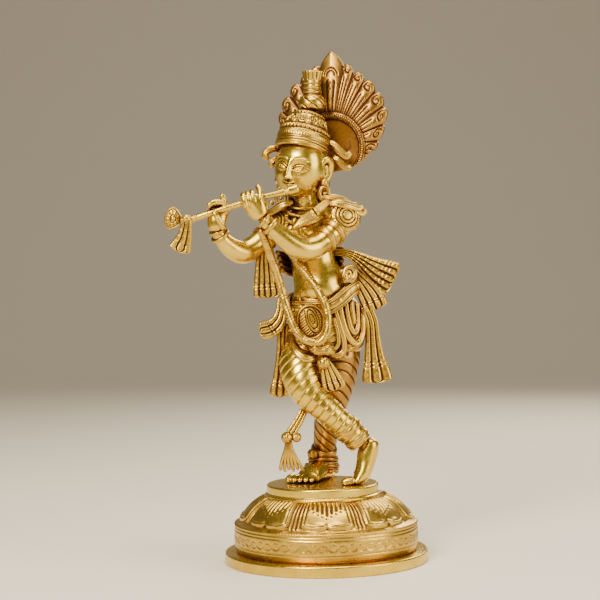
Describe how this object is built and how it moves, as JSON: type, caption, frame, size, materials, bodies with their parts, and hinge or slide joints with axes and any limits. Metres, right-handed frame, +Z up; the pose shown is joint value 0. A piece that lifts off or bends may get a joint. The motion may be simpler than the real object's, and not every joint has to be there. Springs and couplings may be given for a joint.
{
  "type": "deity statue",
  "caption": "Cast brass figure playing a transverse flute, cross-legged on a round hollow lotus base, with a tall crown and a feather fan.",
  "frame": {"origin": "centre of the base's underside, on the axis of the foot plate", "axes": "+Z up; the figure faces -Y and a little toward -X; its left arm is on the +X side"},
  "size_m": [0.187, 0.15, 0.3794],
  "materials": {
    "polished_brass": "polished",
    "antiqued_brass": "antiqued, dark patina in the recesses",
    "zinc_plated_steel": "zinc plated"
  },
  "bodies": {
    "root": {"foot_plate": "polished_brass", "platform": "polished_brass", "torso": "polished_brass", "head": "polished_brass", "standing_foot": "polished_brass", "crossed_foot": "polished_brass", "flute": "polished_brass", "left_arm": "polished_brass", "left_hand": "polished_brass", "right_arm": "polished_brass", "right_hand": "polished_brass", "lotus_drum": "antiqued_brass", "hips": "antiqued_brass", "standing_leg": "antiqued_brass", "crossed_leg": "antiqued_brass", "flute_leaf": "antiqued_brass", "flute_tassel": "antiqued_brass", "crown": "antiqued_brass", "crown_topknot": "antiqued_brass", "feather_fan": "antiqued_brass", "left_ear_scroll": "antiqued_brass", "right_ear_scroll": "antiqued_brass", "left_earring": "antiqued_brass", "right_earring": "antiqued_brass", "back_hair": "antiqued_brass", "left_shoulder_cape": "antiqued_brass", "right_shoulder_cape": "antiqued_brass", "hair_lock": "antiqued_brass", "necklace": "antiqued_brass", "left_armlets": "antiqued_brass", "right_armlet": "antiqued_brass", "left_bangle": "antiqued_brass", "right_bangle": "antiqued_brass", "belt": "antiqued_brass", "belt_loop": "antiqued_brass", "flying_scarf": "antiqued_brass", "side_folds": "antiqued_brass", "left_long_sash": "antiqued_brass", "back_scarf": "antiqued_brass", "right_scarf_pleats": "antiqued_brass", "right_sash_end": "antiqued_brass", "right_long_sash": "antiqued_brass", "apron_panel": "antiqued_brass", "hip_swag": "antiqued_brass", "waist_knot": "antiqued_brass", "front_swag": "antiqued_brass", "front_pleats": "antiqued_brass", "garland": "antiqued_brass", "leg_tassel": "antiqued_brass", "crossed_anklet": "antiqued_brass", "standing_anklet": "antiqued_brass", "foot_studs": "zinc_plated_steel", "foot_washers": "zinc_plated_steel", "foot_nuts": "zinc_plated_steel"}
  },
  "joints": []
}
